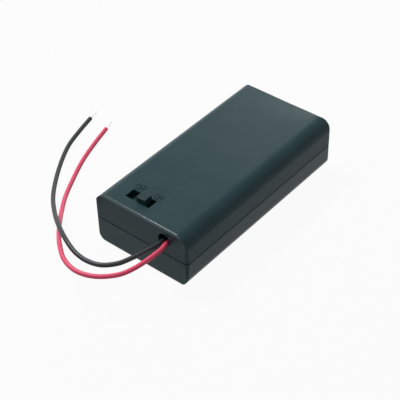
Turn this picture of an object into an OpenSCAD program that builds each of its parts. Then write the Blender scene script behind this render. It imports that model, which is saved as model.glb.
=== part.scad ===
// Covered holder for two round cells, with a slide switch and two wire leads.
// X runs along the cells, with the switch and the leads at the -X end.
// Z is up, and the holder rests on its slide-off cover at z = 0.

/* [Cells] */
// Diameter of one cell
cell_d = 14.5; // [12:0.1:18]
// Length of one cell, with its tip
cell_l = 50.5; // [40:0.5:70]
// Gap between the two cells
cell_gap = 0.2; // [0.1:0.1:2]
// Room beside each cell
cell_side_gap = 0.15; // [0.1:0.05:1]
// Room above each cell
cell_roof_gap = 0.1; // [0.1:0.1:2]
// Height of each cell above the cover's floor
cell_lift = 0.9; // [0.6:0.1:3]
// Room in line with a cell for its spring and contacts
spring_room = 5.7; // [5:0.1:12]

/* [Case] */
// Thickness of the case's long walls
wall = 1.7; // [1:0.05:2]
// Thickness of the case's end walls
end_wall = 1.5; // [1.2:0.1:3]
// Thickness of the case's roof
roof_t = 1.8; // [1:0.1:3]
// Length of the switch compartment
compartment_l = 8.5; // [8.3:0.1:20]
// Thickness of the wall between the switch and the cells
divider_t = 1.3; // [0.8:0.1:3]
// Gap under that wall, above the cover's floor
divider_gap = 1; // [0.9:0.1:2]
// Height of the seam between case and cover
seam_z = 9.5; // [8.6:0.1:9.8]
// Width of the seam
seam_gap = 0.3; // [0.1:0.05:0.6]
// Thickness of the inner skirts that stand between the cells and the cover
skirt_t = 1.05; // [1:0.05:2]
// How far the skirts and the lip run up inside the case
skirt_rise = 1; // [0.5:0.1:3]
// Thickness of the lip behind the cover's end wall
lip_t = 1; // [0.6:0.1:2]
// How far the lip hangs below the seam
lip_drop = 2; // [1:0.1:3]
// Thickness of the rib between the cells
cell_rib_t = 1.2; // [0.6:0.1:1.4]
// Depth of the rib between the cells
cell_rib_h = 4; // [1:0.1:4.2]
// Gap between that rib and the contact plates
cell_rib_gap = 1.3; // [0.5:0.1:5]
// Depth of the shallow sink in the roof's far edge
sink_depth = 0.5; // [0.1:0.05:0.7]
// Width of the sink at the far edge
sink_w = 26; // [10:1:27]
// Length over which the sink runs out
sink_l = 16; // [8:1:30]

/* [Outer shape] */
// Slope of the long walls above and below the seam, in degrees
draft = 3; // [0:0.5:4]
// Slope of the end walls above and below the seam, in degrees
end_draft = 1.2; // [0:0.1:3]
// Radius of the long top edges
top_edge_r = 4.5; // [2:0.1:5]
// Radius of the long bottom edges
bottom_edge_r = 4.4; // [2:0.1:4.6]
// Radius of the top edges at the ends
end_top_r = 0.9; // [0.3:0.1:2]
// Radius of the bottom edges at the ends
end_bottom_r = 1.2; // [0.3:0.1:2]
// Radius of the upright corners
corner_r = 1.4; // [1:0.1:3]

/* [Cover] */
// Thickness of the cover's floor
floor_t = 1.2; // [0.8:0.1:3]
// Thickness of the cover's side walls at the seam
cover_wall = 1.35; // [0.9:0.05:2]
// Thickness of the cover's end wall
cover_end_t = 1.3; // [0.8:0.1:3]
// Sliding gap between the cover and the case
slide_gap = 0.15; // [0.1:0.05:0.4]
// Height of the sliding ribs above the floor
rail_lift = 4.2; // [3.8:0.1:4.6]
// Thickness of a sliding rib
rail_h = 1; // [0.6:0.1:1.4]
// How far a sliding rib stands out of the cover's wall
rail_out = 0.5; // [0.3:0.05:0.6]
// Depth of the groove that a sliding rib runs in
groove_depth = 0.6; // [0.4:0.05:0.7]
// Gap above and below a sliding rib in its groove
rail_play = 0.2; // [0.1:0.05:0.4]
// Width of the floor rib under each cell
rest_w = 1; // [0.6:0.1:3]
// Gap between that rib and the cell
rest_gap = 0.2; // [0.1:0.1:0.4]
// Gap between that rib and the walls at its ends
rest_end_gap = 2; // [1:0.5:10]

/* [Switch] */
// Slot centre, in from the near end of the holder
slot_in = 5.95; // [5.4:0.05:6.1]
// Slot centre, in from the far long side
slot_side = 12.95; // [12.3:0.05:15]
// Length of the slot
slot_l = 8.8; // [7:0.1:12]
// Width of the slot
slot_w = 3.6; // [3.3:0.1:4.4]
// Travel of the knob between on and off
switch_travel = 2.3; // [1.5:0.1:4]
// Length of the knob along its travel
knob_l = 3.2; // [2:0.1:4]
// Width of the knob
knob_w = 3.1; // [2:0.1:3.4]
// Height of the knob above the roof
knob_h = 1.6; // [0.5:0.1:4]
// Width of the plate that carries the knob
slider_w = 6; // [4.6:0.1:6.2]
// Thickness of that plate
slider_t = 0.9; // [0.6:0.1:1.5]
// How far that plate still covers the slot at each end of its travel
slider_lap = 0.3; // [0.1:0.1:1]
// Gap round that plate in its guides
guide_gap = 0.1; // [0.05:0.05:0.3]
// Thickness of the end stops
stop_t = 0.8; // [0.6:0.1:2]
// Thickness of the insulating board
board_t = 1; // [0.6:0.1:1.6]
// Gap round the insulating board
board_gap = 0.1; // [0.05:0.05:0.5]
// Room between the board and the slider for the bridge spring
bridge_room = 1.5; // [1.2:0.1:2.5]
// Diameter of the pegs that hold the board
peg_d = 1.4; // [1:0.1:2]
// Gap between a peg and the board's hole
peg_gap = 0.1; // [0.05:0.05:0.3]
// How far a peg stands through the board
peg_end = 0.5; // [0.2:0.1:2]
// Thickness of the bridge spring
bridge_t = 0.25; // [0.15:0.05:0.4]
// Width of the bridge spring
bridge_w = 2.4; // [1.6:0.1:3]
// Distance from the knob's middle to each foot of the bridge spring
foot_y = 2.6; // [2:0.1:3.5]
// Length of each foot of the bridge spring
foot_l = 0.6; // [0.4:0.1:1]
// Length of the slope between a foot and the bridge spring's back
foot_slope = 1.1; // [0.8:0.1:1.4]
// Length of the turned-up end beyond each foot
foot_tip = 0.8; // [0.5:0.1:1.2]
// How far the fed strip reaches inward past the bridge spring's foot
foot_lap = 0.8; // [0.5:0.1:1.2]
// Gap under each foot of the bridge spring
foot_gap = 0.05; // [0.05:0.05:0.2]
// Diameter of the peg that carries the bridge spring
bridge_peg_d = 1; // [0.6:0.1:1.4]
// Thickness of the switch strips
strip_t = 0.3; // [0.2:0.05:0.5]
// Width of the switch strips
strip_w = 3; // [2:0.1:4]
// Distance from the slot's middle to the outer face of each solder tail
tail_y = 6.3; // [5.9:0.1:7]
// How far each solder tail hangs below the board
tail_l = 2.4; // [1.5:0.1:4]

/* [Contacts] */
// Thickness of the contact plates
plate_t = 0.4; // [0.2:0.05:0.6]
// Width of one contact plate
plate_w = 11; // [8:0.1:11.2]
// Height of one contact plate
plate_h = 10.8; // [10.6:0.1:11]
// Diameter of the raised button that meets a cell's tip
button_d = 5.2; // [3:0.1:7]
// Height of the raised button
button_h = 0.5; // [0.2:0.1:1]
// Width of a solder tab
tab_w = 3; // [2:0.1:5]
// How far a solder tab reaches into the switch compartment
tab_l = 2.1; // [1:0.1:3]
// Gap between the board and the solder joints below it
joint_gap = 0.5; // [0.2:0.05:0.8]
// Gap round a solder tab in the divider
tab_gap = 0.1; // [0.05:0.05:0.3]
// Thickness of the guides beside the contact plates
guide_t = 0.8; // [0.5:0.1:1]
// Thickness of the guides in front of the contact plates
guide_lip_t = 0.6; // [0.4:0.1:1]
// How far the guides lap over a plate's edges
guide_lap = 0.5; // [0.3:0.1:0.8]
// Gap between a contact plate and its guides
plate_gap = 0.05; // [0.05:0.05:0.1]

/* [Springs] */
// Wire diameter of the cell springs
spring_wire_d = 0.7; // [0.5:0.05:0.9]
// Mean radius of a spring at its plate
spring_base_r = 4.3; // [3.5:0.1:4.5]
// Mean radius of a spring at its tip
spring_tip_r = 2.2; // [1.5:0.1:3]
// Free length of a spring
spring_l = 8; // [6:0.1:12]
// Rise of a spring's first turn
spring_rise = 0.65; // [0.55:0.05:1]
// Number of turns
spring_turns = 4.5; // [3:0.5:6]
// Width of the hooks that hold a spring on its plate
hook_w = 1.2; // [0.8:0.1:2]
// Thickness of the hooks
hook_t = 0.35; // [0.2:0.05:0.5]
// Gap between a spring and its hooks
hook_gap = 0.1; // [0.05:0.05:0.2]

/* [Leads] */
// Diameter of the leads over their insulation
lead_d = 1.4; // [1:0.1:1.5]
// Diameter of the jumper wire inside
jumper_d = 1.2; // [0.8:0.1:1.4]
// Diameter of the bare conductor
core_d = 0.6; // [0.3:0.05:0.8]
// Length of bare conductor at each lead's end
bare_l = 4; // [2:0.5:8]
// Diameter of the hole that the leads leave by
hole_d = 4.2; // [4:0.1:5]
// Lead hole's centre, in from the near long side
hole_side = 8.4; // [8.2:0.05:8.6]
// Lead hole's centre, below the roof
hole_drop = 4.1; // [3.9:0.05:4.4]
// Diameter of a solder joint
solder_d = 2.2; // [1.8:0.1:2.6]
// Length of a solder joint
solder_l = 0.9; // [0.5:0.1:1.2]

/* [Hidden] */
$fn = 64;

// Depth by which features of one moulding run into each other
knit = 0.2;
// Reach of a cutting or bounding shape past what it cuts
past = 1;

// Across the holder: cells, skirts, sliding gap and cover, from the middle out
cell_y = (cell_d + cell_gap) / 2;
bay_y = cell_y + cell_d / 2 + cell_side_gap;
skirt_y = bay_y + skirt_t;
cover_in_y = skirt_y + slide_gap;
seam_y = cover_in_y + cover_wall;

// Up the holder
cell_z = floor_t + cell_lift + cell_d / 2;
roof_in = cell_z + cell_d / 2 + cell_roof_gap;
top = roof_in + roof_t;
case_edge = seam_z + seam_gap / 2;
cover_edge = seam_z - seam_gap / 2;
cover_in_r = bottom_edge_r - cover_wall;
skirt_low = floor_t + cover_in_r;
rail_low = floor_t + rail_lift;

// Along the holder
bay_l = cell_l + spring_room;
x_far = (2 * end_wall + compartment_l + divider_t + bay_l) / 2;
x_near = -x_far;
near_in = x_near + end_wall;
divider_x = near_in + compartment_l;
bay_x = divider_x + divider_t;
far_in = x_far - end_wall;
lip_x = x_near + cover_end_t + slide_gap;

// Switch, with the knob at rest in the on place
slot_x = x_near + slot_in;
slot_y = seam_y - slot_side;
hole_y = hole_side - seam_y;
hole_z = top - hole_drop;
on_y = slot_y - switch_travel / 2;
slider_l = slot_l + switch_travel + 2 * slider_lap;
slider_top = roof_in - guide_gap;
slider_low = slider_top - slider_t;
board_top = slider_low - bridge_room;
board_low = board_top - board_t;
strip_top = board_top + strip_t;
stop_y = (slider_l + switch_travel) / 2 + guide_gap;
peg_y = stop_y + stop_t + peg_d / 2 + guide_gap;
board_half = peg_y + peg_d;
tail_low = board_low - tail_l;

// Contacts and solder joints
plate_low = cell_z - plate_h / 2;
joint_z = board_low - joint_gap - solder_d / 2;
tab_z = joint_z - plate_t / 2;
tab_end = divider_x - tab_l;
hook_in = spring_base_r + spring_wire_d / 2 + hook_gap;
hook_low = spring_wire_d + spring_rise / 2 + hook_gap;
ring_sides = 8;
spring_steps = 16;
// Straight run of a lead at its solder joint
solder_run = 0.9;

// Route of each lead, from its solder joint out through the hole to its end
red_inside = [
    [slot_x, slot_y - tail_y - solder_l, joint_z],
    [slot_x, slot_y - tail_y - solder_l - solder_run, joint_z],
    [-29.1, -5.6, 10.7], [-30.2, -7.5, 10.5], [-31.6, -8.9, 12], [-33, -9.5, 13.3]
];
red_outside = [
    [-34.5, -9.6, 13.35], [-36.5, -9.9, 13.2], [-39, -9.7, 13], [-42, -9.3, 12.7],
    [-46, -8.3, 12.2], [-50, -6.5, 11.8], [-53.5, -3, 11.5], [-55.5, 1, 11.3],
    [-56, 5.5, 11.2], [-54.5, 10.5, 11.1], [-51, 15.5, 10.9], [-46.5, 20.5, 8.8],
    [-41, 26, 5.8], [-35, 31.5, 3], [-28, 37, 1.2], [-20, 41.5, 0.75],
    [-11.5, 45.5, 0.75], [-3, 48.5, 0.75], [5.5, 51, 0.75]
];
black_inside = [
    [tab_end - solder_l, -cell_y, joint_z],
    [tab_end - solder_l - solder_run, -cell_y, joint_z],
    [-30, -7.5, 12.3], [-31.6, -7.8, 13.1], [-33, -8, 13.4]
];
black_outside = [
    [-34.5, -8.1, 13.45], [-36.5, -7.7, 13.3], [-38.5, -7.2, 13.2], [-41, -6.5, 13],
    [-44, -5.4, 12.7], [-47.5, -3.5, 12.2], [-50.5, 0, 11.8], [-51.5, 4.5, 11.5],
    [-51, 9.5, 11.5], [-49, 15, 11.8], [-44.5, 22.5, 9.8], [-38.5, 30.5, 6],
    [-31.5, 38.5, 2.8], [-24, 45, 1.2], [-16, 50.5, 0.75], [-8.5, 54.5, 0.75],
    [-1, 57, 0.75], [6.5, 59, 0.75]
];
jumper_start = [slot_x, slot_y + tail_y + solder_l, joint_z];
jumper_end = [tab_end - solder_l, cell_y, joint_z];
jumper_points = [
    jumper_start, jumper_start + [0, 0.7, 0], jumper_start + [-0.1, 1.5, -0.7],
    jumper_start + [-0.2, 1.9, -2], jumper_start + [-0.5, 1.2, -3.5],
    (jumper_start + jumper_end) / 2 + [-1.6, 0.6, -4.6],
    jumper_end + [-2.3, 1.1, -3.7], jumper_end + [-2.5, 0.3, -2.2],
    jumper_end + [-2, 0, -0.8], jumper_end - [solder_run, 0, 0], jumper_end
];
red_points = concat(red_inside, red_outside);
black_points = concat(black_inside, black_outside);
// Distance between the rings of a lead, and of the jumper with its tighter bends
ring_step = 3.8;
jumper_step = 0.7;

// Point on a smooth curve through b and c, between its neighbours a and d
function curve_point(a, b, c, d, t) =
    0.5 * (2 * b + (c - a) * t + (2 * a - 5 * b + 4 * c - d) * t * t
        + (3 * b - a - 3 * c + d) * t * t * t);

// Direction of that curve at t
function curve_way(a, b, c, d, t) =
    (c - a) + 2 * (2 * a - 5 * b + 4 * c - d) * t + 3 * (3 * b - a - 3 * c + d) * t * t;

// Centre and direction of every ring of a lead that follows points p, about a step apart
function lead_rings(p, step) = [
    for (i = [0:len(p) - 2])
        let (
            a = p[max(i - 1, 0)],
            d = p[min(i + 2, len(p) - 1)],
            steps = max(1, round(norm(p[i + 1] - p[i]) / step)),
            last = i == len(p) - 2 ? steps : steps - 1
        )
        for (s = [0:last])
            [curve_point(a, p[i], p[i + 1], d, s / steps),
             curve_way(a, p[i], p[i + 1], d, s / steps)]
];

// One ring of a tube of radius r, square to its direction, with its corners
// counted from the plane that holds the direction and the vector up_hint
function ring(centre, way, r, up_hint) =
    let (
        ahead = way / norm(way),
        side = cross(up_hint, ahead) / norm(cross(up_hint, ahead)),
        up = cross(ahead, side)
    )
    [for (k = [0:ring_sides - 1])
        centre + r * (cos(360 * k / ring_sides) * side + sin(360 * k / ring_sides) * up)];

// Faces of a closed tube of n rings
function tube_faces(n) = concat(
    [[for (k = [0:ring_sides - 1]) k]],
    [for (i = [0:n - 2], k = [0:ring_sides - 1])
        let (next = (k + 1) % ring_sides)
        [i * ring_sides + k, (i + 1) * ring_sides + k,
         (i + 1) * ring_sides + next, i * ring_sides + next]],
    [[for (k = [0:ring_sides - 1]) n * ring_sides - 1 - k]]
);

// Tube of diameter d through the points p, whose direction is never along up_hint
module lead_tube(p, d, step, up_hint = [0, 0, 1]) {
    rings = lead_rings(p, step);
    points = [for (r = rings) each ring(r[0], r[1], d / 2, up_hint)];
    polyhedron(points = points, faces = tube_faces(len(rings)));
}

// Height of a spring's wire above its plate after t turns
function spring_height(t) =
    t < 1 ? spring_wire_d / 2 + spring_rise * t
    : spring_wire_d / 2 + spring_rise
        + (spring_l - spring_wire_d - spring_rise) * (t - 1) / (spring_turns - 1);

// Mean radius of a spring after t turns
function spring_radius(t) =
    spring_base_r + (spring_tip_r - spring_base_r) * t / spring_turns;

// Ring of a spring's wire after t turns, with the spring standing on +X
function spring_ring(t) =
    let (out = [0, sin(360 * t), cos(360 * t)])
    [for (k = [0:ring_sides - 1])
        [spring_height(t), 0, 0] + spring_radius(t) * out
        + spring_wire_d / 2 * (cos(360 * k / ring_sides) * out
            + sin(360 * k / ring_sides) * [1, 0, 0])];

// Conical spring with its base on the plane x = 0
module cell_spring() {
    rings = spring_turns * spring_steps + 1;
    points = [for (i = [0:rings - 1]) each spring_ring(i / spring_steps)];
    polyhedron(points = points, faces = tube_faces(rings));
}

// Box between two corners
module block(low, high) {
    translate(low) cube(high - low);
}

// Outline drawn in Y and Z, carried along X from x0 to x1
module along_x(x0, x1) {
    translate([x0, 0, 0]) rotate([90, 0, 90]) linear_extrude(x1 - x0) children();
}

// Outline drawn in X and Z, carried along Y from y0 to y1
module along_y(y0, y1) {
    translate([0, y1, 0]) rotate([90, 0, 0]) linear_extrude(y1 - y0) children();
}

// Closed outline, widest at the seam, with walls that slope by lean degrees
module outline(half, low, high, r_low, r_high, lean) {
    half_high = half - (r_high + sin(lean) * (high - r_high - seam_z)) / cos(lean);
    half_low = half - (r_low + sin(lean) * (seam_z - low - r_low)) / cos(lean);
    side = [
        [half_low, low],
        [half_low + r_low * cos(lean), low + r_low - r_low * sin(lean)],
        [half, seam_z],
        [half_high + r_high * cos(lean), high - r_high + r_high * sin(lean)],
        [half_high, high]
    ];
    other = [for (i = [len(side) - 1:-1:0]) [-side[i][0], side[i][1]]];
    polygon(concat(side, other));
    for (s = [-1, 1]) {
        translate([s * half_low, low + r_low]) circle(r = r_low);
        translate([s * half_high, high - r_high]) circle(r = r_high);
    }
}

// Flat rectangle with round corners
module round_plan(l, w, r) {
    square([l - 2 * r, w], center = true);
    square([l, w - 2 * r], center = true);
    for (sx = [-1, 1], sy = [-1, 1]) {
        translate([sx * (l / 2 - r), sy * (w / 2 - r)]) circle(r = r);
    }
}

// Outside of the closed holder
module outer_block() {
    intersection() {
        along_x(x_near - past, x_far + past)
            outline(seam_y, 0, top, bottom_edge_r, top_edge_r, draft);
        along_y(-seam_y - past, seam_y + past)
            outline(x_far, 0, top, end_bottom_r, end_top_r, end_draft);
        translate([0, 0, -past]) linear_extrude(top + 2 * past)
            round_plan(2 * x_far, 2 * seam_y, corner_r);
    }
}

// Part of the outer block between two heights
module outer_slice(low, high) {
    intersection() {
        outer_block();
        block([x_near - past, -seam_y - past, low], [x_far + past, seam_y + past, high]);
    }
}

// Case walls and roof above the seam
module case_shell() {
    difference() {
        outer_slice(case_edge, top + past);
        along_x(near_in, far_in)
            outline(seam_y - wall, 0, roof_in, bottom_edge_r - wall, top_edge_r - wall, draft);
    }
}

// Far end wall below the seam, which the cover's walls slide past
module far_wall() {
    intersection() {
        outer_block();
        along_x(far_in, x_far + past)
            outline(skirt_y, floor_t + slide_gap, top, cover_in_r - slide_gap, top_edge_r, 0);
        block([far_in, -seam_y, 0], [x_far + past, seam_y, case_edge + knit]);
    }
}

// Skirts beside the cells and the lip behind the cover's end wall
module skirts() {
    skirt_high = seam_z + skirt_rise;
    for (s = [-1, 1]) {
        y = s * (bay_y + skirt_y) / 2;
        block([lip_x, y - skirt_t / 2, skirt_low], [far_in + knit, y + skirt_t / 2, skirt_high]);
    }
    block([lip_x, -bay_y - knit, seam_z - lip_drop], [lip_x + lip_t, bay_y + knit, skirt_high]);
}

// Wall between the switch and the cells
module divider() {
    intersection() {
        outer_block();
        union() {
            block([divider_x, -skirt_y, case_edge], [bay_x, skirt_y, roof_in + roof_t / 2]);
            block([divider_x, -bay_y - knit, floor_t + divider_gap],
                [bay_x, bay_y + knit, case_edge + knit]);
        }
    }
}

// Guide for one edge of a contact plate: face is the wall that the plate lies on,
// way is 1 or -1 along X away from that wall, and side is 1 or -1 along Y
module plate_guide(face, way, edge_y, side) {
    lip_in = plate_t + plate_gap;
    lip_out = lip_in + guide_lip_t;
    edge = edge_y + side * plate_gap;
    outer = edge + side * guide_t;
    inner = edge - side * guide_lap;
    x0 = face - way * knit;
    x1 = face + way * lip_in;
    x2 = face + way * lip_out;
    block([min(x0, x2), min(edge, outer), plate_low], [max(x0, x2), max(edge, outer), roof_in + knit]);
    block([min(x1, x2), min(inner, outer), plate_low], [max(x1, x2), max(inner, outer), roof_in + knit]);
}

// Guides for all the contact plates
module plate_guides() {
    for (s = [-1, 1]) {
        plate_guide(bay_x, 1, s * (cell_y + plate_w / 2), s);
        plate_guide(bay_x, 1, s * (cell_y - plate_w / 2), -s);
        plate_guide(far_in, -1, s * (cell_y + plate_w / 2), s);
    }
}

// Ledges, end stops and pegs that guide the slider and carry the board
module switch_guides() {
    guide_x = slider_w / 2 + guide_gap;
    high = roof_in + knit;
    near_y = slot_y - stop_y - stop_t;
    far_y = slot_y + stop_y + stop_t;
    block([near_in - knit, near_y, board_top], [slot_x - guide_x, far_y, high]);
    block([slot_x + guide_x, near_y, board_top], [divider_x + knit, far_y, high]);
    for (s = [-1, 1]) {
        y = slot_y + s * (stop_y + stop_t / 2);
        block([slot_x - guide_x - knit, y - stop_t / 2, board_top],
            [slot_x + guide_x + knit, y + stop_t / 2, high]);
        translate([slot_x, slot_y + s * peg_y, board_low - peg_end])
            cylinder(d = peg_d, h = high - board_low + peg_end);
    }
}

// Shallow sink in the roof's far edge, cut by a large tilted cylinder
module roof_sink() {
    sink_r = (pow(sink_w / 2, 2) + pow(sink_depth, 2)) / (2 * sink_depth);
    tilt = atan(sink_depth / sink_l);
    translate([x_far - sink_l, 0, top]) rotate([0, 90 + tilt, 0])
        translate([-sink_r, 0, -past]) cylinder(r = sink_r, h = sink_l + 3 * past, $fn = 360);
}

// Case with the cell bays, the switch compartment and the lead hole
module case() {
    color([0.16, 0.2, 0.21])
    difference() {
        union() {
            case_shell();
            far_wall();
            skirts();
            divider();
            plate_guides();
            switch_guides();
            block([bay_x + plate_t + cell_rib_gap, -cell_rib_t / 2, roof_in - cell_rib_h],
                [far_in - plate_t - cell_rib_gap, cell_rib_t / 2, roof_in + knit]);
        }
        block([slot_x - slot_w / 2, slot_y - slot_l / 2, roof_in - past],
            [slot_x + slot_w / 2, slot_y + slot_l / 2, top + past]);
        translate([x_near - past, hole_y, hole_z]) rotate([0, 90, 0])
            cylinder(d = hole_d, h = end_wall + 2 * past);
        for (s = [-1, 1]) {
            rail_groove(s);
            tab_slot(s * cell_y);
        }
        roof_sink();
    }
}

// Groove in a skirt for the cover's sliding rib
module rail_groove(side) {
    inner = side * (skirt_y - groove_depth);
    outer = side * (skirt_y + past);
    block([lip_x - past, min(inner, outer), rail_low - rail_play],
        [far_in - knit, max(inner, outer), rail_low + rail_h + rail_play]);
}

// Slot in the divider for a solder tab
module tab_slot(y) {
    block([divider_x - past, y - tab_w / 2 - tab_gap, tab_z - tab_gap],
        [bay_x + past, y + tab_w / 2 + tab_gap, tab_z + plate_t + tab_gap]);
}

// Slide-off cover: floor, two side walls and the near end wall
module cover() {
    color([0.15, 0.19, 0.2]) {
        difference() {
            outer_slice(-past, cover_edge);
            along_x(x_near + cover_end_t, x_far + past)
                outline(cover_in_y, floor_t, top, cover_in_r, cover_in_r, 0);
        }
        for (s = [-1, 1]) {
            rib_in = s * (cover_in_y - rail_out);
            rib_out = s * (cover_in_y + knit);
            block([lip_x + slide_gap, min(rib_in, rib_out), rail_low],
                [far_in - knit - rail_play, max(rib_in, rib_out), rail_low + rail_h]);
            block([bay_x + rest_end_gap, s * cell_y - rest_w / 2, floor_t - knit],
                [far_in - rest_end_gap, s * cell_y + rest_w / 2, floor_t + cell_lift - rest_gap]);
        }
    }
}

// Sliding plate with the knob on top and the bridge spring's peg below
module switch_slider() {
    color([0.1, 0.11, 0.12]) {
        block([slot_x - slider_w / 2, on_y - slider_l / 2, slider_low],
            [slot_x + slider_w / 2, on_y + slider_l / 2, slider_top]);
        block([slot_x - knob_w / 2, on_y - knob_l / 2, slider_top - knit],
            [slot_x + knob_w / 2, on_y + knob_l / 2, top + knob_h]);
        translate([slot_x, on_y, slider_low - bridge_t - 2 * foot_gap])
            cylinder(d = bridge_peg_d, h = slider_t);
    }
}

// Strip of sheet metal in section, of thickness t, through the points p
module bent_strip(p, t) {
    for (i = [0:len(p) - 2]) {
        way = p[i + 1] - p[i];
        translate(p[i]) rotate(atan2(way[1], way[0])) translate([0, -t / 2])
            square([norm(way), t]);
        translate(p[i]) circle(d = t, $fn = 24);
    }
    translate(p[len(p) - 1]) circle(d = t, $fn = 24);
}

// Spring that bridges the two switch strips
module switch_bridge() {
    back = slider_low - bridge_t / 2;
    foot = strip_top + foot_gap + bridge_t / 2;
    lifted = (back + foot) / 2;
    half = [
        [foot_y + foot_l / 2 + foot_tip, lifted], [foot_y + foot_l / 2, foot],
        [foot_y - foot_l / 2, foot], [foot_y - foot_l / 2 - foot_slope, back]
    ];
    other = [for (i = [len(half) - 1:-1:0]) [-half[i][0], half[i][1]]];
    color([0.85, 0.62, 0.35])
    difference() {
        translate([0, on_y, 0]) along_x(slot_x - bridge_w / 2, slot_x + bridge_w / 2)
            bent_strip(concat(half, other), bridge_t);
        translate([slot_x, on_y, slider_low - bridge_room])
            cylinder(d = bridge_peg_d + 2 * foot_gap, h = bridge_room + past);
    }
}

// Insulating board that carries the switch strips
module switch_board() {
    color([0.55, 0.36, 0.2])
    difference() {
        block([near_in + board_gap, slot_y - board_half, board_low],
            [divider_x - board_gap, slot_y + board_half, board_top]);
        for (s = [-1, 1]) {
            translate([slot_x, slot_y + s * peg_y, board_low - past])
                cylinder(d = peg_d + 2 * peg_gap, h = board_t + 2 * past);
            y = slot_y + s * (tail_y - strip_t / 2);
            block([slot_x - strip_w / 2 - board_gap, y - strip_t / 2 - board_gap, board_low - past],
                [slot_x + strip_w / 2 + board_gap, y + strip_t / 2 + board_gap, board_top + past]);
        }
    }
}

// Switch strip from its inner end to its solder tail, on one side of the slot
module switch_strip(inner, side) {
    outer = slot_y + side * tail_y;
    tail = outer - side * strip_t;
    color([0.8, 0.65, 0.35]) {
        block([slot_x - strip_w / 2, min(inner, outer), board_top],
            [slot_x + strip_w / 2, max(inner, outer), strip_top]);
        block([slot_x - strip_w / 2, min(tail, outer), tail_low],
            [slot_x + strip_w / 2, max(tail, outer), strip_top]);
    }
}

// Strip that the bridge leaves when the switch is off
module live_terminal() {
    switch_strip(on_y - foot_y + switch_travel / 2, -1);
}

// Strip that the bridge stays on
module feed_terminal() {
    switch_strip(on_y + foot_y - foot_lap, 1);
}

// Plate of sheet metal that lies on a wall, around the cell at y
module contact_plate(x, y) {
    block([x, y - plate_w / 2, plate_low], [x + plate_t, y + plate_w / 2, plate_low + plate_h]);
}

// Solder tab through the divider, at the cell at y
module solder_tab(y) {
    block([tab_end, y - tab_w / 2, tab_z], [bay_x + plate_t, y + tab_w / 2, tab_z + plate_t]);
}

// Button that meets a cell's tip
module contact_button(x, y, way) {
    translate([x, y, cell_z]) rotate([0, way * 90, 0]) cylinder(d = button_d, h = button_h);
}

// Two hooks that hold a spring's first turn on a plate whose face is at x
module spring_hooks(x, y, way) {
    for (s = [-1, 1]) {
        inner = cell_z + s * (spring_base_r - hook_gap);
        foot = cell_z + s * hook_in;
        outer = foot + s * hook_t;
        back = x - way * plate_t / 2;
        under = x + way * hook_low;
        over = under + way * hook_t;
        block([min(back, over), y - hook_w / 2, min(foot, outer)],
            [max(back, over), y + hook_w / 2, max(foot, outer)]);
        block([min(under, over), y - hook_w / 2, min(inner, outer)],
            [max(under, over), y + hook_w / 2, max(inner, outer)]);
    }
}

module positive_contact() {
    color([0.78, 0.78, 0.76]) {
        contact_plate(bay_x, cell_y);
        solder_tab(cell_y);
        contact_button(bay_x + plate_t, cell_y, 1);
    }
}

module negative_contact() {
    color([0.78, 0.78, 0.76]) {
        contact_plate(bay_x, -cell_y);
        solder_tab(-cell_y);
        spring_hooks(bay_x + plate_t, -cell_y, 1);
    }
}

module negative_spring() {
    color([0.75, 0.75, 0.74]) translate([bay_x + plate_t, -cell_y, cell_z]) cell_spring();
}

// Plate at the far end that joins the two cells
module link_plate() {
    color([0.78, 0.78, 0.76]) {
        block([far_in - plate_t, -cell_y - plate_w / 2, plate_low],
            [far_in, cell_y + plate_w / 2, plate_low + plate_h]);
        contact_button(far_in - plate_t, -cell_y, -1);
        spring_hooks(far_in - plate_t, cell_y, -1);
    }
}

module link_spring() {
    color([0.75, 0.75, 0.74])
    translate([far_in - plate_t, cell_y, cell_z]) rotate([0, 0, 180])
        cell_spring();
}

module red_lead() {
    color([0.82, 0.1, 0.12]) lead_tube(red_points, lead_d, ring_step);
}

module black_lead() {
    color([0.08, 0.09, 0.1]) lead_tube(black_points, lead_d, ring_step);
}

// Bare conductor beyond the end of the insulation
module lead_tip(p) {
    end = p[len(p) - 1];
    way = end - p[len(p) - 2];
    color([0.75, 0.75, 0.75])
    translate(end) rotate([0, 90, atan2(way[1], way[0])]) cylinder(d = core_d, h = bare_l);
}

module red_lead_tip() {
    lead_tip(red_points);
}

module black_lead_tip() {
    lead_tip(black_points);
}

module jumper_wire() {
    color([0.82, 0.1, 0.12]) lead_tube(jumper_points, jumper_d, jumper_step, [1, 0, 0.3]);
}

// Bead of solder that starts on the plane x = 0 and ends where the wire starts
module solder_bead() {
    color([0.7, 0.71, 0.72])
    rotate([0, 90, 0]) rotate_extrude() intersection() {
        translate([0, solder_l / 2]) circle(d = solder_d);
        square([solder_d, solder_l]);
    }
}

// Bead on the outer face of a switch strip's tail, on one side of the slot
module tail_joint(side) {
    translate([slot_x, slot_y + side * tail_y, joint_z]) rotate([0, 0, side * 90]) solder_bead();
}

// Bead on the end of a contact's solder tab
module tab_joint(y) {
    translate([tab_end, y, joint_z]) rotate([0, 0, 180]) solder_bead();
}

module red_lead_joint() {
    tail_joint(-1);
}

module black_lead_joint() {
    tab_joint(-cell_y);
}

module jumper_switch_joint() {
    tail_joint(1);
}

module jumper_contact_joint() {
    tab_joint(cell_y);
}

case();
cover();
switch_slider();
switch_bridge();
switch_board();
live_terminal();
feed_terminal();
positive_contact();
negative_contact();
negative_spring();
link_plate();
link_spring();
red_lead();
black_lead();
red_lead_tip();
black_lead_tip();
jumper_wire();
red_lead_joint();
black_lead_joint();
jumper_switch_joint();
jumper_contact_joint();
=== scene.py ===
"""Looks of a covered holder for two round cells, with a slide switch and two wire leads."""

import math

import bmesh
import bpy
from mathutils import Matrix, Vector


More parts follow.
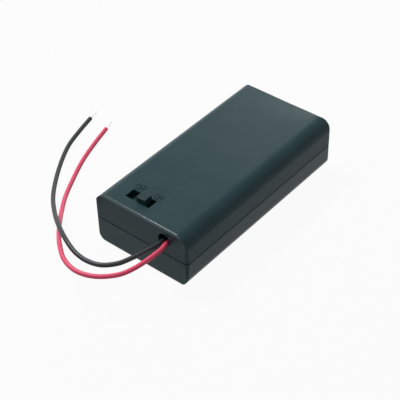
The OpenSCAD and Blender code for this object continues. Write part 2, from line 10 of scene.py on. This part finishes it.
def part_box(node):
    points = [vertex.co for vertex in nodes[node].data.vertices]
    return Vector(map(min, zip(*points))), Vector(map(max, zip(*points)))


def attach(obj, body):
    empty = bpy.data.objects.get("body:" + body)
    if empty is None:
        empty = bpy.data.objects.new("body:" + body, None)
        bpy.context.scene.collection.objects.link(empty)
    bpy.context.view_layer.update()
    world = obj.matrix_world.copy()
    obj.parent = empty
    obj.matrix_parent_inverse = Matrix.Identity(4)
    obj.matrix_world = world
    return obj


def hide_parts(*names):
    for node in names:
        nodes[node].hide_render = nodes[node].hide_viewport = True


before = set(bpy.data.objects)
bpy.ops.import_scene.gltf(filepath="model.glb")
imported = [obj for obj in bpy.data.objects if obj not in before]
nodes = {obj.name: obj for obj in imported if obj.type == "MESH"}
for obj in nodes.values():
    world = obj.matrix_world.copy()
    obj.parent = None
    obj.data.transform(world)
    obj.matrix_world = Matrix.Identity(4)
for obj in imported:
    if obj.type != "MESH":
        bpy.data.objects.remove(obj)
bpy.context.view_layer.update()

MM = 0.001


# ---------------------------------------------------------------- camera

# The lens and the sensor are in millimetres
LENS = 106.153
SENSOR = 36
CAMERA_AZIMUTH = math.radians(-49.698)
CAMERA_ELEVATION = math.radians(40.892)
CAMERA_ROLL = math.radians(-1.492)
CAMERA_DISTANCE = 352.59 * MM
# Middle of the box, and how far the view's middle lies from it to the left and below
AIM = Vector((0, 0, 9.5)) * MM
AIM_RIGHT = 5.057 * MM
AIM_UP = 6.574 * MM


def make_camera():
    """Camera that looks down at the switch end from the side of the lead hole."""
    turn, rise = CAMERA_AZIMUTH, CAMERA_ELEVATION
    back = Vector((math.sin(turn) * math.cos(rise), -math.cos(turn) * math.cos(rise), math.sin(rise)))
    level = Vector((math.cos(turn), math.sin(turn), 0))
    upright = back.cross(level)
    side = math.cos(CAMERA_ROLL) * level + math.sin(CAMERA_ROLL) * upright
    up = math.cos(CAMERA_ROLL) * upright - math.sin(CAMERA_ROLL) * level
    data = bpy.data.cameras.new("camera")
    data.sensor_width = SENSOR
    data.lens = LENS
    data.clip_start = 0.01
    data.clip_end = 10
    camera = bpy.data.objects.new("camera", data)
    bpy.context.collection.objects.link(camera)
    place = Matrix((side, up, back)).transposed().to_4x4()
    place.translation = AIM - AIM_RIGHT * side - AIM_UP * up + CAMERA_DISTANCE * back
    camera.matrix_world = place
    bpy.context.scene.camera = camera


make_camera()


# ---------------------------------------------------------------- materials


def linear(colour):
    """Linear RGBA of an sRGB hex colour."""
    parts = [int(colour[i:i + 2], 16) / 255 for i in (1, 3, 5)]
    return [p / 12.92 if p <= 0.04045 else ((p + 0.055) / 1.055) ** 2.4 for p in parts] + [1]


def add(tree, kind, values=(), links=(), **settings):
    """New node of a tree, with its settings, its input values and the sockets linked to its inputs."""
    node = tree.nodes.new(kind)
    for name, value in settings.items():
        setattr(node, name, value)
    for key, value in dict(values).items():
        node.inputs[key].default_value = value
    for key, socket in dict(links).items():
        tree.links.new(socket, node.inputs[key])
    return node


def maths(tree, operation, first, second, third=0.0):
    """Result of a maths node on sockets or numbers."""
    node = add(tree, "ShaderNodeMath", operation=operation)
    for key, value in enumerate((first, second, third)):
        if isinstance(value, (int, float)):
            node.inputs[key].default_value = value
        else:
            tree.links.new(value, node.inputs[key])
    return node.outputs[0]


def new_material(name):
    """Empty material, with its tree, its output and Object coordinates."""
    material = bpy.data.materials.new(name)
    material.use_nodes = True
    tree = material.node_tree
    tree.nodes.clear()
    output = add(tree, "ShaderNodeOutputMaterial")
    place = add(tree, "ShaderNodeTexCoord").outputs["Object"]
    return material, tree, output, place


# Spacing in millimetres of the slow change of shade that the melt's flow leaves, and what the grain adds
FLOW = 9
GRAIN_SHARE = 0.35
# How far the roughness strays to either side
PLASTIC_SPREAD = 0.06
METAL_SPREAD = 0.08
# Attribute of a piece that is highest on its end rims, and its values where their shine starts and is full
RIM_MARK = "end_rim"
RIM_START = 0.1
RIM_FULL = 0.25


def moulded(name, colour, pale, roughness, grain, depth, gloss, rubbed=None):
    """Moulded plastic with a fine satin grain.

    colour and pale are the ends of its slight variation, grain and depth are the
    spacing and the height of its texture in millimetres, and gloss is how much of
    a smooth surface's reflection that texture leaves, where 0.5 is all of it.
    rubbed is the weight of the clear shine on the rounded rims at the ends, polished by handling.
    """
    material, tree, output, place = new_material(name)
    cloud = add(tree, "ShaderNodeTexNoise", {"Scale": 1 / (FLOW * MM), "Detail": 2}, {"Vector": place})
    # Grain of the mould's surface
    grit = add(tree, "ShaderNodeTexNoise", {"Scale": 1 / (grain * MM), "Detail": 3}, {"Vector": place})
    both = add(tree, "ShaderNodeMath", {1: GRAIN_SHARE}, {0: grit.outputs["Fac"], 2: cloud.outputs["Fac"]},
               operation="MULTIPLY_ADD")
    shade = add(tree, "ShaderNodeMapRange", {"From Min": 0.4, "From Max": 1.0}, {"Value": both.outputs[0]})
    tint = add(tree, "ShaderNodeValToRGB", links={"Fac": shade.outputs["Result"]})
    tint.color_ramp.elements[0].color = linear(colour)
    tint.color_ramp.elements[1].color = linear(pale)
    rough = add(tree, "ShaderNodeMapRange",
                {"To Min": roughness - PLASTIC_SPREAD, "To Max": roughness + PLASTIC_SPREAD},
                {"Value": grit.outputs["Fac"]})
    bump = add(tree, "ShaderNodeBump", {"Strength": 1, "Distance": depth * MM},
               {"Height": grit.outputs["Fac"]})
    shader = add(tree, "ShaderNodeBsdfPrincipled", {"IOR": 1.53, "Specular IOR Level": gloss},
                 {"Base Color": tint.outputs["Color"], "Roughness": rough.outputs["Result"],
                  "Normal": bump.outputs["Normal"]})
    if rubbed:
        rim = add(tree, "ShaderNodeAttribute", attribute_name=RIM_MARK).outputs["Fac"]
        polish = add(tree, "ShaderNodeMapRange",
                     {"From Min": RIM_START, "From Max": RIM_FULL, "To Max": rubbed}, {"Value": rim})
        tree.links.new(polish.outputs["Result"], shader.inputs["Coat Weight"])
        shader.inputs["Coat Roughness"].default_value = roughness
    tree.links.new(shader.outputs[0], output.inputs["Surface"])
    return material


def metal(name, colour, dull, roughness, streak, depth):
    """Bare metal. dull is the colour of its tarnish, and streak the spacing of its marks in millimetres."""
    material, tree, output, place = new_material(name)
    marks = add(tree, "ShaderNodeTexNoise", {"Scale": 1 / (streak * MM), "Detail": 4}, {"Vector": place})
    tint = add(tree, "ShaderNodeValToRGB", links={"Fac": marks.outputs["Fac"]})
    tint.color_ramp.elements[0].position = 0.3
    tint.color_ramp.elements[0].color = linear(dull)
    tint.color_ramp.elements[1].position = 0.65
    tint.color_ramp.elements[1].color = linear(colour)
    rough = add(tree, "ShaderNodeMapRange",
                {"To Min": roughness - METAL_SPREAD, "To Max": roughness + METAL_SPREAD},
                {"Value": marks.outputs["Fac"]})
    bump = add(tree, "ShaderNodeBump", {"Strength": 1, "Distance": depth * MM},
               {"Height": marks.outputs["Fac"]})
    shader = add(tree, "ShaderNodeBsdfPrincipled", {"Metallic": 1},
                 {"Base Color": tint.outputs["Color"], "Roughness": rough.outputs["Result"],
                  "Normal": bump.outputs["Normal"]})
    tree.links.new(shader.outputs[0], output.inputs["Surface"])
    return material


# ABS from a spark-eroded mould: slate grey-green, an even satin with soft reflections.
# Its grain of about 0.08 mm is drawn at 0.3 mm, since it is too fine to show.
abs_case = moulded("abs_case_satin", "#1f373c", "#253f44", 0.33, 0.3, 0.005, 0.12, rubbed=0.72)
# The same ABS from another mould, a shade darker
abs_cover = moulded("abs_cover_satin", "#1c3439", "#213c41", 0.33, 0.3, 0.005, 0.12)
# Moulded nylon of the switch's knob: nearly black, with a waxy dullness
nylon_knob = moulded("nylon_knob", "#1a3135", "#20393d", 0.4, 0.25, 0.003, 0.12)
# Paper phenolic board: brown, hard and a little shiny, with faint fibres
phenolic = moulded("phenolic_board", "#7a4a27", "#8d5a31", 0.4, 0.15, 0.003, 0.4)
# Extruded PVC insulation: smooth and soft, with a broad gentle gloss
pvc_red = moulded("pvc_extruded_red", "#dc4166", "#e14d70", 0.42, 1.5, 0.003, 0.35)
pvc_black = moulded("pvc_extruded_black", "#1c2224", "#20272a", 0.42, 1.5, 0.003, 0.3)
# Rolled phosphor bronze: warm and springy bright, with fine rolling marks
bronze = metal("phosphor_bronze_rolled", "#c98f56", "#a9733f", 0.28, 0.4, 0.001)
# Stamped brass strip: yellow, with slight tarnish
brass = metal("brass_stamped", "#d3b164", "#b08f47", 0.3, 0.5, 0.001)
# Nickel plate on steel sheet: warm grey-white and fairly bright
nickel_sheet = metal("nickel_plated_sheet", "#c9c5bc", "#b3aea4", 0.22, 0.6, 0.0008)
# Nickel plate on drawn spring wire
nickel_wire = metal("nickel_plated_wire", "#c4c1ba", "#a9a59d", 0.25, 0.4, 0.0008)
# Tinned stranded copper: pale grey and soft, dulled where it was stripped
tinned = metal("tinned_copper_strands", "#ececec", "#d6d6d6", 0.55, 0.3, 0.0005)
# Solder that has set bright, with a slightly rippled skin
solder = metal("solder_set", "#c6c7c9", "#a3a5a8", 0.3, 0.5, 0.01)


# ---------------------------------------------------------------- leads

# Sizes and points in millimetres
LEAD_D = 1.4
CORE_D = 0.6
BARE_L = 4.0
LEAD_SIDES = 20
LEAD_STEP = 0.45
CUT_ROUND = 0.06

RED_OUTSIDE = [
    (-34.5, -9.6, 13.35), (-36.5, -9.9, 13.2), (-39, -9.7, 13), (-42, -9.3, 12.7), (-46, -8.3, 12.2),
    (-50, -6.5, 11.8), (-53.5, -3, 11.5), (-55.5, 1, 11.3), (-56, 5.5, 11.2), (-54.5, 10.5, 11.1),
    (-51, 15.5, 10.9), (-46.5, 20.5, 8.8), (-41, 26, 5.8), (-35, 31.5, 3), (-28, 37, 1.2),
    (-20, 41.5, 0.75), (-11.5, 45.5, 0.75), (-3, 48.5, 0.75), (5.5, 51, 0.75),
]
RED_INSIDE = [
    (-28.55, -2.85, 11.6), (-28.55, -3.75, 11.6), (-29.1, -5.6, 10.7), (-30.2, -7.5, 10.5),
    (-31.6, -8.9, 12), (-33, -9.5, 13.3),
]
BLACK_OUTSIDE = [
    (-34.5, -8.1, 13.45), (-36.5, -7.7, 13.3), (-38.5, -7.2, 13.2), (-41, -6.5, 13), (-44, -5.4, 12.7),
    (-47.5, -3.5, 12.2), (-50.5, 0, 11.8), (-51.5, 4.5, 11.5), (-51, 9.5, 11.5), (-49, 15, 11.8),
    (-44.5, 22.5, 9.8), (-38.5, 30.5, 6), (-31.5, 38.5, 2.8), (-24, 45, 1.2), (-16, 50.5, 0.75),
    (-8.5, 54.5, 0.75), (-1, 57, 0.75), (6.5, 59, 0.75),
]
BLACK_INSIDE = [
    (-27.5, -7.35, 11.6), (-28.4, -7.35, 11.6), (-30, -7.5, 12.3), (-31.6, -7.8, 13.1), (-33, -8, 13.4),
]


def curve_point(a, b, c, d, t):
    """Point on a smooth curve through b and c, between its neighbours a and d."""
    return 0.5 * (2 * b + (c - a) * t + (2 * a - 5 * b + 4 * c - d) * t * t
                  + (3 * b - a - 3 * c + d) * t * t * t)


def smooth_route(points, first, last):
    """Close points, in metres, along the smooth curve from points[first] to points[last]."""
    p = [Vector(q) for q in points]
    made = []
    for i in range(first, last):
        a, d = p[max(i - 1, 0)], p[min(i + 2, len(p) - 1)]
        steps = max(2, round((p[i + 1] - p[i]).length / LEAD_STEP))
        made += [curve_point(a, p[i], p[i + 1], d, s / steps) * MM for s in range(steps)]
    return made + [p[last] * MM]


def link(name, mesh, material):
    """New object for a mesh, with one material."""
    mesh.materials.clear()
    mesh.materials.append(material)
    piece = bpy.data.objects.new(name, mesh)
    bpy.context.collection.objects.link(piece)
    return piece


def tube(name, route, radius, material, end_round=0.0):
    """Round solid wire along a route, closed at both ends, its far end rounded by end_round metres."""
    rings = []
    ahead = (route[1] - route[0]).normalized()
    # No lead sets out along this direction
    slant = Vector((0.2, 0.1, 1))
    side = ahead.cross(slant).normalized()
    for i, centre in enumerate(route):
        way = (route[min(i + 1, len(route) - 1)] - route[max(i - 1, 0)]).normalized()
        side = (side - way * side.dot(way)).normalized()
        rings.append([centre, way, side, radius])
    if end_round:
        centre, way, side, _ = rings[-1]
        rings[-1] = [centre - way * end_round, way, side, radius]
        for turn in (30, 60, 90):
            back = end_round * (1 - math.sin(math.radians(turn)))
            inset = end_round * (1 - math.cos(math.radians(turn)))
            rings.append([centre - way * back, way, side, radius - inset])
    build = bmesh.new()
    rows = []
    for centre, way, side, size in rings:
        up = way.cross(side)
        turns = [2 * math.pi * k / LEAD_SIDES for k in range(LEAD_SIDES)]
        spokes = [math.cos(t) * side + math.sin(t) * up for t in turns]
        rows.append([build.verts.new(centre + size * spoke) for spoke in spokes])
    for low, high in zip(rows, rows[1:]):
        for k in range(LEAD_SIDES):
            n = (k + 1) % LEAD_SIDES
            build.faces.new((low[k], low[n], high[n], high[k])).smooth = True
    build.faces.new(list(reversed(rows[0])))
    build.faces.new(rows[-1])
    mesh = bpy.data.meshes.new(name)
    build.to_mesh(mesh)
    build.free()
    return link(name, mesh, material)


def lead(name, inside, outside, material):
    """One lead as two pieces: the free cord outside, and the stretch from its solder joint to the hole."""
    points = inside + outside
    start, end = len(inside), len(points) - 1
    free_route = smooth_route(points, start, end)
    free = tube(name, free_route, LEAD_D / 2 * MM, material, end_round=CUT_ROUND * MM)
    held = tube(name + "_inside", smooth_route(points, 0, start), LEAD_D / 2 * MM, material)
    return free, held, free_route


red_lead, red_inside, red_route = lead("red_wire", RED_INSIDE, RED_OUTSIDE, pvc_red)
black_lead, black_inside, black_route = lead("black_wire", BLACK_INSIDE, BLACK_OUTSIDE, pvc_black)


# ---------------------------------------------------------------- Geometry Nodes


def new_shape(name, inputs):
    """Empty Geometry Nodes tree with named number inputs, an output and a material input."""
    tree = bpy.data.node_groups.new(name, "GeometryNodeTree")
    for label, kind in inputs.items():
        tree.interface.new_socket(label, in_out="INPUT", socket_type="NodeSocket" + kind)
    tree.interface.new_socket("Material", in_out="INPUT", socket_type="NodeSocketMaterial")
    tree.interface.new_socket("Geometry", in_out="OUTPUT", socket_type="NodeSocketGeometry")
    return tree, add(tree, "NodeGroupInput").outputs


def close_shape(tree, given, geometry):
    """Ends a tree in real geometry with its material."""
    real = add(tree, "GeometryNodeRealizeInstances", links={"Geometry": geometry})
    done = add(tree, "GeometryNodeSetMaterial",
               links={"Geometry": real.outputs[0], "Material": given["Material"]})
    add(tree, "NodeGroupOutput", links={"Geometry": done.outputs[0]})


def coil_shape():
    """Conical spring that stands on +Z: a first turn that lies on its plate, then open turns to the tip."""
    tree, given = new_shape("conical_spring", {
        "Base radius": "Float", "Tip radius": "Float", "Free length": "Float", "First rise": "Float",
        "Turns": "Float", "Wire diameter": "Float", "Steps": "Int", "Wire sides": "Int",
    })
    line = add(tree, "GeometryNodeCurvePrimitiveLine")
    fine = add(tree, "GeometryNodeResampleCurve", links={"Curve": line.outputs[0], "Count": given["Steps"]})
    along = add(tree, "GeometryNodeSplineParameter").outputs["Factor"]
    turns = maths(tree, "MULTIPLY", along, given["Turns"])
    angle = maths(tree, "MULTIPLY", turns, 2 * math.pi)
    taper = maths(tree, "SUBTRACT", given["Tip radius"], given["Base radius"])
    radius = maths(tree, "MULTIPLY_ADD", taper, along, given["Base radius"])
    lying = maths(tree, "MINIMUM", turns, 1.0)
    half_wire = maths(tree, "MULTIPLY", given["Wire diameter"], 0.5)
    low = maths(tree, "MULTIPLY_ADD", lying, given["First rise"], half_wire)
    open_turns = maths(tree, "SUBTRACT", given["Turns"], 1.0)
    rest = maths(tree, "SUBTRACT", given["Free length"], given["Wire diameter"])
    open_rise = maths(tree, "SUBTRACT", rest, given["First rise"])
    pitch = maths(tree, "DIVIDE", open_rise, open_turns)
    standing = maths(tree, "SUBTRACT", turns, lying)
    height = maths(tree, "MULTIPLY_ADD", standing, pitch, low)
    place = add(tree, "ShaderNodeCombineXYZ", links={
        "X": maths(tree, "MULTIPLY", radius, maths(tree, "COSINE", angle, 0.0)),
        "Y": maths(tree, "MULTIPLY", radius, maths(tree, "SINE", angle, 0.0)),
        "Z": height,
    })
    wound = add(tree, "GeometryNodeSetPosition",
                links={"Geometry": fine.outputs[0], "Position": place.outputs[0]})
    section = add(tree, "GeometryNodeCurvePrimitiveCircle",
                  links={"Resolution": given["Wire sides"], "Radius": half_wire})
    wire = add(tree, "GeometryNodeCurveToMesh", {"Fill Caps": True},
               {"Curve": wound.outputs[0], "Profile Curve": section.outputs["Curve"]})
    close_shape(tree, given, wire.outputs[0])
    return tree


def strand_shape():
    """Bare conductor that runs along +Z: strands laid round a straight middle one."""
    tree, given = new_shape("laid_strands", {
        "Strands": "Int", "Strand diameter": "Float", "Length": "Float", "Twists": "Float",
        "Steps": "Int", "Strand sides": "Int",
    })
    line = add(tree, "GeometryNodeCurvePrimitiveLine")
    fine = add(tree, "GeometryNodeResampleCurve", links={"Curve": line.outputs[0], "Count": given["Steps"]})
    along = add(tree, "GeometryNodeSplineParameter").outputs["Factor"]
    angle = maths(tree, "MULTIPLY", maths(tree, "MULTIPLY", along, given["Twists"]), 2 * math.pi)
    height = maths(tree, "MULTIPLY", along, given["Length"])
    lay = given["Strand diameter"]
    spread = add(tree, "ShaderNodeCombineXYZ", links={
        "X": maths(tree, "MULTIPLY", lay, maths(tree, "COSINE", angle, 0.0)),
        "Y": maths(tree, "MULTIPLY", lay, maths(tree, "SINE", angle, 0.0)),
        "Z": height,
    })
    laid = add(tree, "GeometryNodeSetPosition",
               links={"Geometry": fine.outputs[0], "Position": spread.outputs[0]})
    straight_place = add(tree, "ShaderNodeCombineXYZ", links={"Z": height})
    straight = add(tree, "GeometryNodeSetPosition",
                   links={"Geometry": fine.outputs[0], "Position": straight_place.outputs[0]})
    spots = add(tree, "GeometryNodePoints", links={"Count": given["Strands"]})
    share = maths(tree, "DIVIDE", add(tree, "GeometryNodeInputIndex").outputs[0], given["Strands"])
    turn = add(tree, "ShaderNodeCombineXYZ", links={"Z": maths(tree, "MULTIPLY", share, 2 * math.pi)})
    round_it = add(tree, "GeometryNodeInstanceOnPoints", links={
        "Points": spots.outputs[0], "Instance": laid.outputs[0], "Rotation": turn.outputs[0]})
    all_round = add(tree, "GeometryNodeRealizeInstances", links={"Geometry": round_it.outputs[0]})
    curves = add(tree, "GeometryNodeJoinGeometry")
    tree.links.new(all_round.outputs[0], curves.inputs[0])
    tree.links.new(straight.outputs[0], curves.inputs[0])
    section = add(tree, "GeometryNodeCurvePrimitiveCircle", links={
        "Resolution": given["Strand sides"], "Radius": maths(tree, "MULTIPLY", lay, 0.5)})
    wires = add(tree, "GeometryNodeCurveToMesh", {"Fill Caps": True},
                {"Curve": curves.outputs[0], "Profile Curve": section.outputs["Curve"]})
    close_shape(tree, given, wires.outputs[0])
    return tree


# Angle past which an edge of a wire is sharp, which leaves only its cut ends
WIRE_SHARP = math.radians(50)


def grown(name, tree, values, place):
    """Plain mesh piece from a Geometry Nodes tree, run with the named values and put in place."""
    piece = bpy.data.objects.new(name, bpy.data.meshes.new(name + "_start"))
    bpy.context.collection.objects.link(piece)
    modifier = piece.modifiers.new("shape", "NODES")
    modifier.node_group = tree
    for item in tree.interface.items_tree:
        if item.in_out == "INPUT":
            modifier[item.identifier] = values[item.name]
    bpy.context.view_layer.update()
    depsgraph = bpy.context.evaluated_depsgraph_get()
    mesh = bpy.data.meshes.new_from_object(piece.evaluated_get(depsgraph))
    piece.modifiers.remove(modifier)
    mesh.transform(place)
    mesh.shade_smooth()
    mesh.set_sharp_from_angle(angle=WIRE_SHARP)
    piece.data = mesh
    return piece


def facing(way, at):
    """Place that turns +Z to the direction way and moves the origin to at."""
    return Matrix.Translation(at) @ Vector(way).to_track_quat("Z", "Y").to_matrix().to_4x4()


strands = strand_shape()


def bare_end(name, route):
    """Bare twisted strands beyond the cut end of a lead's insulation."""
    way = (route[-1] - route[-2]).normalized()
    values = {"Strands": 6, "Strand diameter": CORE_D / 3 * MM, "Length": BARE_L * MM, "Twists": 0.6,
              "Steps": 25, "Strand sides": 10, "Material": tinned}
    return grown(name, strands, values, facing(way, route[-1]))


red_tip = bare_end("red_wire_bare_end", red_route)
black_tip = bare_end("black_wire_bare_end", black_route)

for free, held, tip, route, node, slot in (
    (red_lead, red_inside, red_tip, red_route, "red_lead", "red_pvc"),
    (black_lead, black_inside, black_tip, black_route, "black_lead", "black_pvc"),
):
    for piece in (free, held, tip):
        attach(piece, "case")
    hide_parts(node)
    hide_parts(node)
    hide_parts(node + "_tip")


# ---------------------------------------------------------------- springs

SPRING = {"Base radius": 4.3 * MM, "Tip radius": 2.2 * MM, "Free length": 8 * MM, "First rise": 0.65 * MM,
          "Turns": 4.5, "Wire diameter": 0.7 * MM, "Steps": 271, "Wire sides": 14, "Material": nickel_wire}
coil = coil_shape()
# The cells' middle lines
CELL_Y = 7.35 * MM
CELL_Z = 9.35 * MM


def cell_spring(name, node, way):
    """Smooth spring in place of a spring node, standing along way (1 or -1 in X) from its plate.

    The wire starts at the top of its plate and winds as the solid does.
    """
    low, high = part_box(node)
    foot = low.x if way > 0 else high.x
    across = CELL_Y if low.y + high.y > 0 else -CELL_Y
    place = Matrix(((0, 0, way, foot), (0, way, 0, across), (1, 0, 0, CELL_Z), (0, 0, 0, 1)))
    piece = grown(name, coil, SPRING, place)
    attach(piece, "case")
    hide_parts(node)


cell_spring("spring_negative", "negative_spring", 1)
cell_spring("spring_link", "link_spring", -1)


# ---------------------------------------------------------------- moulded and stamped pieces


# Points of a mesh closer than this are one, in metres
MERGE = 0.002 * MM
# Faces that lean less than FLAT on each other are joined, and past SHARP their edge is a real one
FLAT = math.radians(0.4)
SHARP = math.radians(35)
# Rounding of the moulded edges and of the knob's, in millimetres
EDGE_ROUND = 0.12
KNOB_ROUND = 0.18


def finished(name, node, body, material, edge):
    """Smooth copy of a node with its sharp edges rounded by edge millimetres, in place of the node."""
    mesh = nodes[node].data.copy()
    build = bmesh.new()
    build.from_mesh(mesh)
    bmesh.ops.remove_doubles(build, verts=build.verts, dist=MERGE)
    bmesh.ops.dissolve_limit(build, angle_limit=FLAT, verts=build.verts, edges=build.edges)
    for face in build.faces:
        face.smooth = True
    build.to_mesh(mesh)
    build.free()
    mesh.set_sharp_from_angle(angle=SHARP)
    piece = link(name, mesh, material)
    bevel = piece.modifiers.new("edges", "BEVEL")
    bevel.width = edge * MM
    bevel.segments = 2
    bevel.limit_method = "ANGLE"
    bevel.angle_limit = SHARP
    even = piece.modifiers.new("normals", "WEIGHTED_NORMAL")
    even.keep_sharp = True
    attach(piece, body)
    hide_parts(node)
    return piece


def mark_rims(mesh):
    """Marks how far each face of a mesh looks both upwards and along the holder, as only end rims do."""
    mark = mesh.attributes.new(RIM_MARK, "FLOAT", "FACE")
    for face, value in zip(mesh.polygons, mark.data):
        value.value = abs(face.normal.x) * max(face.normal.z, 0)


case_shell = finished("case_shell", "case", "case", abs_case, EDGE_ROUND)
mark_rims(case_shell.data)
finished("slide_cover", "cover", "cover", abs_cover, EDGE_ROUND)
finished("switch_knob", "switch_slider", "slider", nylon_knob, KNOB_ROUND)

for node, material, slot in (
    ("switch_board", phenolic, "board"),
    ("switch_bridge", bronze, "bridge_bronze"),
    ("live_terminal", brass, "terminal_brass"),
    ("feed_terminal", brass, "terminal_brass"),
    ("positive_contact", nickel_sheet, "contact_steel"),
    ("negative_contact", nickel_sheet, "contact_steel"),
    ("link_plate", nickel_sheet, "contact_steel"),
    ("jumper_wire", pvc_red, "red_pvc"),
    ("red_lead_joint", solder, "solder"),
    ("black_lead_joint", solder, "solder"),
    ("jumper_switch_joint", solder, "solder"),
    ("jumper_contact_joint", solder, "solder"),
):
    piece = nodes[node]
    piece.data.materials.clear()
    piece.data.materials.append(material)


# ---------------------------------------------------------------- words by the switch

# In millimetres: the roof's height, how far the letters stand above it, and how far they reach into it
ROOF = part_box("case")[1].z / MM
LETTER_RISE = 0.12
LETTER_SINK = 0.1


def word(text, low, high):
    """Raised word on the roof between two corners in X and Y, its letters upright along +X."""
    curve = bpy.data.curves.new("word_" + text, "FONT")
    curve.body = text
    curve.extrude = 0.5
    curve.resolution_u = 6
    holder = bpy.data.objects.new("holder", curve)
    bpy.context.collection.objects.link(holder)
    bpy.context.view_layer.update()
    depsgraph = bpy.context.evaluated_depsgraph_get()
    mesh = bpy.data.meshes.new_from_object(holder.evaluated_get(depsgraph))
    bpy.data.objects.remove(holder)
    xs = [v.co.x for v in mesh.vertices]
    ys = [v.co.y for v in mesh.vertices]
    for v in mesh.vertices:
        across = (v.co.x - min(xs)) / (max(xs) - min(xs))
        up = (v.co.y - min(ys)) / (max(ys) - min(ys))
        x = low[0] + up * (high[0] - low[0])
        y = high[1] + across * (low[1] - high[1])
        z = ROOF + (LETTER_RISE if v.co.z > 0 else -LETTER_SINK)
        v.co = Vector((x, y, z)) * MM
    build = bmesh.new()
    build.from_mesh(mesh)
    bmesh.ops.remove_doubles(build, verts=build.verts, dist=MERGE)
    bmesh.ops.recalc_face_normals(build, faces=build.faces)
    build.to_mesh(mesh)
    build.free()
    mesh.shade_flat()
    piece = link("word_" + text.lower(), mesh, abs_case)
    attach(piece, "case")


word("OFF", (-26.4, 6), (-23.6, 9.3))
word("ON", (-26.5, -0.4), (-23.7, 2.1))


# ---------------------------------------------------------------- floor and light


def seen_rays(tree):
    """1 where a surface is seen, straight, mirrored or through glass, and 0 where it only gives light."""
    path = add(tree, "ShaderNodeLightPath").outputs
    seen = maths(tree, "MAXIMUM", path["Is Camera Ray"], path["Is Glossy Ray"])
    return maths(tree, "MAXIMUM", seen, path["Is Transmission Ray"])


# Half of the floor's width in metres, and how far it lies below the box
FLOOR_HALF = 3
FLOOR_DROP = 0.02 * MM
# How much of the floor is plain white where it is seen. The rest shows the object's shadow.
FLOOR_WHITE = 0.94
# Strength of the light from all round
WORLD_LIGHT = 0.24


def make_floor():
    """Plain pale floor that shows white, with the object's soft shadow on it."""
    material, tree, output, _ = new_material("floor_pale")
    diffuse = add(tree, "ShaderNodeBsdfDiffuse", {"Color": linear("#bcbcbc")})
    glow = add(tree, "ShaderNodeEmission", {"Color": (1, 1, 1, 1), "Strength": 1})
    seen = seen_rays(tree)
    share = maths(tree, "MULTIPLY", seen, FLOOR_WHITE)
    mix = add(tree, "ShaderNodeMixShader", links={0: share, 1: diffuse.outputs[0], 2: glow.outputs[0]})
    tree.links.new(mix.outputs[0], output.inputs["Surface"])
    build = bmesh.new()
    bmesh.ops.create_grid(build, x_segments=1, y_segments=1, size=FLOOR_HALF)
    mesh = bpy.data.meshes.new("floor")
    build.to_mesh(mesh)
    build.free()
    floor = link("floor", mesh, material)
    floor.data.transform(Matrix.Translation((0, 0, -FLOOR_DROP)))


def make_world(strength):
    """Even studio light from all round, white where it is seen."""
    world = bpy.data.worlds.new("studio")
    bpy.context.scene.world = world
    world.use_nodes = True
    tree = world.node_tree
    tree.nodes.clear()
    seen = seen_rays(tree)
    dim = add(tree, "ShaderNodeBackground", {"Color": (1, 1, 1, 1), "Strength": strength})
    white = add(tree, "ShaderNodeBackground", {"Color": (1, 1, 1, 1), "Strength": 1})
    mix = add(tree, "ShaderNodeMixShader", links={0: seen, 1: dim.outputs[0], 2: white.outputs[0]})
    add(tree, "ShaderNodeOutputWorld", links={"Surface": mix.outputs[0]})


def soft_lamp(name, at, size, watts):
    """Square soft lamp that faces the middle of the holder."""
    data = bpy.data.lights.new(name, "AREA")
    data.shape = "SQUARE"
    data.size = size
    data.energy = watts
    lamp = bpy.data.objects.new(name, data)
    bpy.context.collection.objects.link(lamp)
    lamp.location = at
    lamp.rotation_euler = (AIM - Vector(at)).to_track_quat("-Z", "Y").to_euler()


make_floor()
make_world(WORLD_LIGHT)
soft_lamp("key", (0, 0.54, 0.84), 0.28, 8.6)
soft_lamp("back", (0.75, 0.42, 0.42), 0.3, 1.1)

bpy.context.scene.view_settings.view_transform = "Standard"
